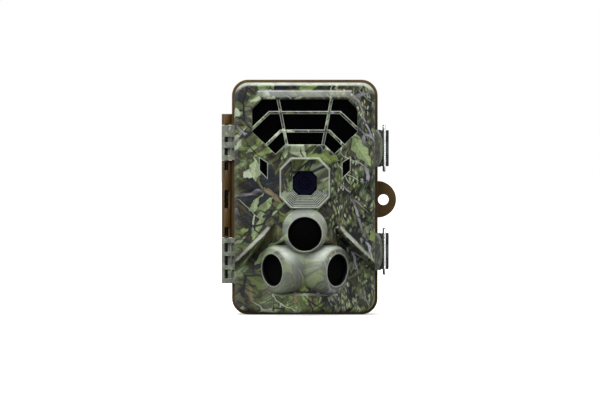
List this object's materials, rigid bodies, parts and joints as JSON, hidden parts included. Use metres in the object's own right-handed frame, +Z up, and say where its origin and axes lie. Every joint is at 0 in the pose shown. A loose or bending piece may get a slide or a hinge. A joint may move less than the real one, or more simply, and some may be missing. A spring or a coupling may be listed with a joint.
{
  "type": "trail camera",
  "caption": "Clamshell trail camera with a fan of infrared lamps, hooded lens, three motion sensors, two toggle latches, padlock eye and tripod socket.",
  "frame": {"origin": "mouth of the tripod socket, in the middle of the base", "axes": "+Z up, out of the top; the lens looks along -Y; +X is to the right of someone facing the lens"},
  "size_m": [0.1002, 0.0748, 0.135],
  "materials": {
    "brown_plastic": "fine textured moulding",
    "camo_plastic": "leaf and bark camouflage print, satin",
    "seal_rubber": "matte",
    "steel": "plain",
    "black_steel": "blackened",
    "spring_steel": "nickel plated",
    "chrome_wire": "bright drawn wire",
    "brass": "machined",
    "tray_plastic": "fine textured moulding",
    "cell_body": "printed sleeve",
    "jack_plastic": "moulded",
    "cover_rubber": "matte",
    "filter_acrylic": "polished, passes infrared",
    "board": "solder mask",
    "lamp_epoxy": "clear tinted epoxy",
    "lens_glass": "coated glass",
    "barrel_metal": "black anodised, ribbed",
    "holder_plastic": "moulded",
    "filter_frame": "moulded",
    "fresnel": "dark polyethylene",
    "can_metal": "nickel",
    "panel_plastic": "fine textured moulding",
    "screen_frame": "pressed",
    "screen_glass": "polished",
    "key_rubber": "matte",
    "lever_plastic": "dark camouflage print, satin",
    "card_plastic": "moulded",
    "wire_jacket": "matte"
  },
  "bodies": {
    "rear_half": {"rear_shell": "brown_plastic", "gasket": "seal_rubber", "hinge_pin": "black_steel", "latch_pins": "steel", "tripod_insert": "brass", "battery_tray": "tray_plastic", "tray_screws": "steel", "aa_cells_upper": "cell_body", "aa_cells_lower": "cell_body", "battery_springs": "spring_steel", "contact_plates": "spring_steel", "dc_jack": "jack_plastic", "ribbon_cable": "wire_jacket"},
    "front_half": {"front_shell": "camo_plastic", "led_window": "filter_acrylic", "led_board": "board", "ir_leds": "lamp_epoxy", "indicator_window": "filter_acrylic", "light_sensor_window": "filter_acrylic", "indicator_led": "lamp_epoxy", "light_sensor": "lamp_epoxy", "lens_window": "lens_glass", "lens_barrel": "barrel_metal", "lens_element": "lens_glass", "lens_holder": "holder_plastic", "image_sensor": "board", "pir_lens_main": "fresnel", "pir_lens_left": "fresnel", "pir_lens_right": "fresnel", "pir_sensors": "can_metal", "pir_boards": "board", "main_board": "board", "key_board": "board", "lcd_module": "screen_frame", "lcd_window": "screen_glass", "inner_panel": "panel_plastic", "panel_screws": "steel", "speaker": "holder_plastic", "microphone": "can_metal", "card_socket": "can_metal", "usb_socket": "can_metal"},
    "key_up": {"key_up": "key_rubber"},
    "key_down": {"key_down": "key_rubber"},
    "key_left": {"key_left": "key_rubber"},
    "key_right": {"key_right": "key_rubber"},
    "key_ok": {"key_ok": "key_rubber"},
    "key_menu": {"key_menu": "key_rubber"},
    "cover": {"port_cover": "cover_rubber"},
    "filter_slide": {"ir_cut_filter": "filter_frame"},
    "card": {"memory_card": "card_plastic"},
    "switch_knob": {"power_switch": "jack_plastic"},
    "upper_lever": {"upper_lever": "lever_plastic"},
    "lower_lever": {"lower_lever": "lever_plastic"},
    "upper_bail": {"upper_bail": "chrome_wire"},
    "lower_bail": {"lower_bail": "chrome_wire"}
  },
  "joints": [
    {"name": "case_hinge", "type": "hinge", "parent": "rear_half", "child": "front_half", "pos_m": [-0.045, -0.013, 0.067], "axis": [0, 0, -1], "range_deg": [0, 160], "deforming": ["ribbon_cable"]},
    {"name": "upper_lever_pivot", "type": "hinge", "parent": "rear_half", "child": "upper_lever", "pos_m": [0.0462, -0.008, 0.0956], "axis": [0, 0, -1], "range_deg": [0, 150]},
    {"name": "upper_bail_pivot", "type": "hinge", "parent": "upper_lever", "child": "upper_bail", "pos_m": [0.0456, -0.003, 0.0956], "axis": [0, 0, -1], "range_deg": [-166, 1]},
    {"name": "lower_lever_pivot", "type": "hinge", "parent": "rear_half", "child": "lower_lever", "pos_m": [0.0462, -0.008, 0.0363], "axis": [0, 0, -1], "range_deg": [0, 150]},
    {"name": "lower_bail_pivot", "type": "hinge", "parent": "lower_lever", "child": "lower_bail", "pos_m": [0.0456, -0.003, 0.0363], "axis": [0, 0, -1], "range_deg": [-166, 1]},
    {"name": "cover_fold", "type": "hinge", "parent": "rear_half", "child": "cover", "pos_m": [-0.022, 0.011, 0.001], "axis": [1, 0, 0], "range_deg": [0, 95]},
    {"name": "key_up_press", "type": "slide", "parent": "front_half", "child": "key_up", "axis": [0, -1, 0], "range_m": [0, 0.0006], "stiffness_N_per_m": 300},
    {"name": "key_down_press", "type": "slide", "parent": "front_half", "child": "key_down", "axis": [0, -1, 0], "range_m": [0, 0.0006], "stiffness_N_per_m": 300},
    {"name": "key_left_press", "type": "slide", "parent": "front_half", "child": "key_left", "axis": [0, -1, 0], "range_m": [0, 0.0006], "stiffness_N_per_m": 300},
    {"name": "key_right_press", "type": "slide", "parent": "front_half", "child": "key_right", "axis": [0, -1, 0], "range_m": [0, 0.0006], "stiffness_N_per_m": 300},
    {"name": "key_ok_press", "type": "slide", "parent": "front_half", "child": "key_ok", "axis": [0, -1, 0], "range_m": [0, 0.0006], "stiffness_N_per_m": 300},
    {"name": "key_menu_press", "type": "slide", "parent": "front_half", "child": "key_menu", "axis": [0, -1, 0], "range_m": [0, 0.0006], "stiffness_N_per_m": 300},
    {"name": "switch_slide", "type": "slide", "parent": "front_half", "child": "switch_knob", "axis": [1, 0, 0], "range_m": [-0.0025, 0.0025]},
    {"name": "card_slide", "type": "slide", "parent": "front_half", "child": "card", "axis": [0, 1, 0], "range_m": [0, 0.01]},
    {"name": "filter_shift", "type": "slide", "parent": "front_half", "child": "filter_slide", "axis": [-1, 0, 0], "range_m": [0, 0.006]}
  ],
  "couplings": [
    {"joint": "upper_bail_pivot", "follows": "upper_lever_pivot", "ratio": -1.1},
    {"joint": "lower_bail_pivot", "follows": "lower_lever_pivot", "ratio": -1.1}
  ]
}
